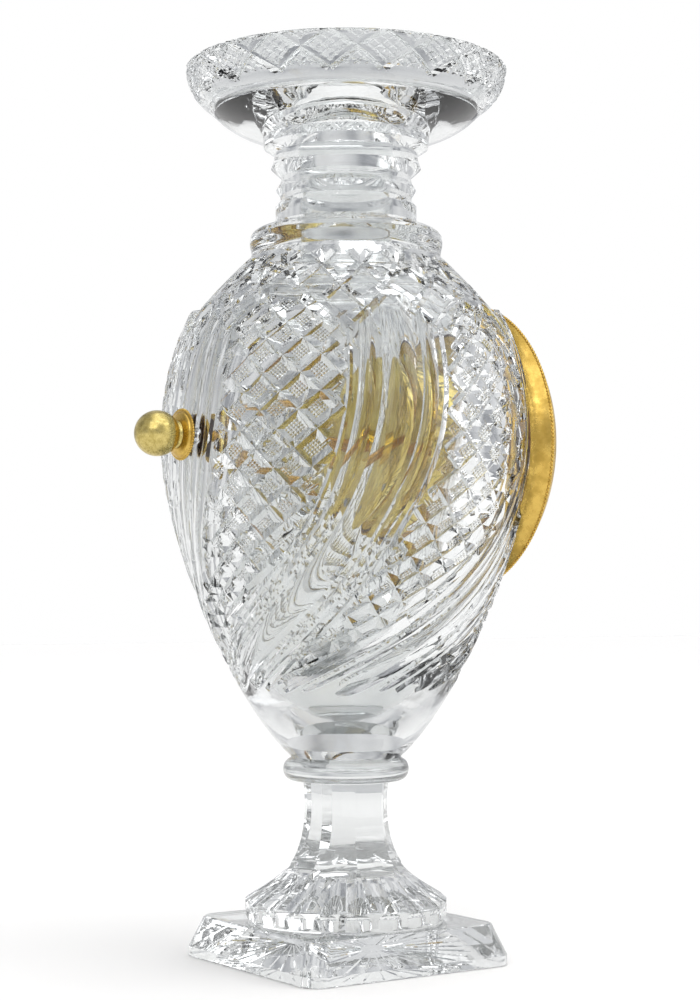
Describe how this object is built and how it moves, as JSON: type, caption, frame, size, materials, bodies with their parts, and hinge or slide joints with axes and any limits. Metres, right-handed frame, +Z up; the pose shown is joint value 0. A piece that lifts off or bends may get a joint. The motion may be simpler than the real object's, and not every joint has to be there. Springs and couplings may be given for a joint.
{
  "type": "cut crystal vase clock",
  "caption": "Cut crystal baluster vase on an octagonal stem and square plinth, with a round gilt clock let into the belly and a ball nut behind.",
  "frame": {"origin": "centre of the plinth's underside, on the vase's axis", "axes": "+Z up along the vase's axis; the dial faces -Y, the ball nut stands out at +Y; +X is to the right of the dial as seen from the front"},
  "size_m": [0.1668, 0.1804, 0.4],
  "materials": {
    "crystal": "colourless lead crystal, cut and polished",
    "gilt_brass": "cast or turned brass, gilded, burnished to a satin sheen",
    "brass": "turned and lacquered",
    "steel": "polished",
    "blued_steel": "heat-blued and polished",
    "copper": "bare copper wire",
    "enamel": "white vitreous enamel, glossy",
    "leather": "vegetable-tanned washer leather",
    "clock_glass": "flat clock glass with a ground edge"
  },
  "bodies": {
    "vase": {"foot": "crystal", "merese": "crystal", "bowl": "crystal", "bezel_gasket": "leather", "bezel": "gilt_brass", "bezel_lugs": "gilt_brass", "hinge_pin": "brass", "dial_ring": "brass", "dial": "enamel", "dial_feet": "copper", "front_plate": "brass", "back_plate": "brass", "pillar_1": "brass", "pillar_2": "brass", "pillar_3": "brass", "pillar_4": "brass", "rear_posts": "brass", "movement_case": "gilt_brass", "case_screws": "steel", "back_cover": "gilt_brass", "cover_screws": "steel", "platform": "brass", "balance_cock": "brass", "clamp_rod": "brass", "inner_nut": "brass", "inner_washer": "gilt_brass", "inner_leather": "leather", "outer_leather": "leather"},
    "door": {"door_ring": "gilt_brass", "door_knuckle": "gilt_brass", "door_glass": "clock_glass", "glass_retainer": "gilt_brass"},
    "minute_arbor": {"centre_arbor": "steel", "centre_wheel": "brass", "cannon_pinion": "steel", "minute_hand": "blued_steel", "hand_nut": "brass"},
    "motion_wheel": {"minute_wheel": "brass"},
    "hour_pipe": {"hour_wheel": "brass", "hour_hand": "blued_steel"},
    "going_barrel": {"barrel": "brass", "barrel_cover": "brass", "mainspring": "steel"},
    "winding_arbor": {"barrel_arbor": "steel", "ratchet_wheel": "steel"},
    "click_arm": {"click": "steel"},
    "third_arbor": {"third_wheel": "brass"},
    "balance_staff": {"balance": "gilt_brass"},
    "regulator_index": {"regulator": "steel"},
    "rear_washer": {"rosette_washer": "gilt_brass"},
    "rear_ball": {"ball_nut": "gilt_brass"}
  },
  "joints": [
    {"name": "door_hinge", "type": "hinge", "parent": "vase", "child": "door", "pos_m": [0.065, -0.0697, 0.2305], "axis": [0, 0, 1], "range_deg": [0, 110]},
    {"name": "minute_turn", "type": "hinge", "parent": "vase", "child": "minute_arbor", "pos_m": [0, -0.06, 0.2305], "axis": [0, -1, 0], "continuous": true},
    {"name": "motion_turn", "type": "hinge", "parent": "vase", "child": "motion_wheel", "pos_m": [0.01247, -0.057, 0.2377], "axis": [0, -1, 0], "continuous": true},
    {"name": "hour_turn", "type": "hinge", "parent": "vase", "child": "hour_pipe", "pos_m": [0, -0.06, 0.2305], "axis": [0, -1, 0], "continuous": true},
    {"name": "barrel_turn", "type": "hinge", "parent": "vase", "child": "going_barrel", "pos_m": [0, -0.04, 0.21], "axis": [0, -1, 0], "continuous": true},
    {"name": "winding_turn", "type": "hinge", "parent": "vase", "child": "winding_arbor", "pos_m": [0, -0.055, 0.21], "axis": [0, -1, 0], "continuous": true},
    {"name": "click_lift", "type": "hinge", "parent": "vase", "child": "click_arm", "pos_m": [0.0105, -0.056, 0.216], "axis": [0, -1, 0], "range_deg": [0, 20], "stiffness_Nm_per_rad": 0.002, "springref_deg": -5.73},
    {"name": "third_turn", "type": "hinge", "parent": "vase", "child": "third_arbor", "pos_m": [-0.01237, -0.045, 0.24287], "axis": [0, -1, 0], "continuous": true},
    {"name": "balance_swing", "type": "hinge", "parent": "vase", "child": "balance_staff", "pos_m": [0.012, -0.025, 0.2445], "axis": [0, -1, 0], "range_deg": [-120, 120], "stiffness_Nm_per_rad": 0.00005},
    {"name": "regulator_turn", "type": "hinge", "parent": "vase", "child": "regulator_index", "pos_m": [0.012, -0.021, 0.2445], "axis": [0, -1, 0], "range_deg": [-20, 20]},
    {"name": "washer_travel", "type": "slide", "parent": "vase", "child": "rear_washer", "axis": [0, 1, 0], "range_m": [0, 0.008]},
    {"name": "ball_turn", "type": "hinge", "parent": "rear_washer", "child": "rear_ball", "pos_m": [0, 0.0974, 0.2305], "axis": [0, 1, 0], "range_deg": [0, 2880]}
  ],
  "couplings": [
    {"joint": "motion_turn", "follows": "minute_turn", "ratio": -0.33333},
    {"joint": "hour_turn", "follows": "minute_turn", "ratio": 0.083333},
    {"joint": "barrel_turn", "follows": "minute_turn", "ratio": -0.13889},
    {"joint": "third_turn", "follows": "minute_turn", "ratio": -6},
    {"joint": "ball_turn", "follows": "washer_travel", "rad_per_m": 6283.2}
  ]
}
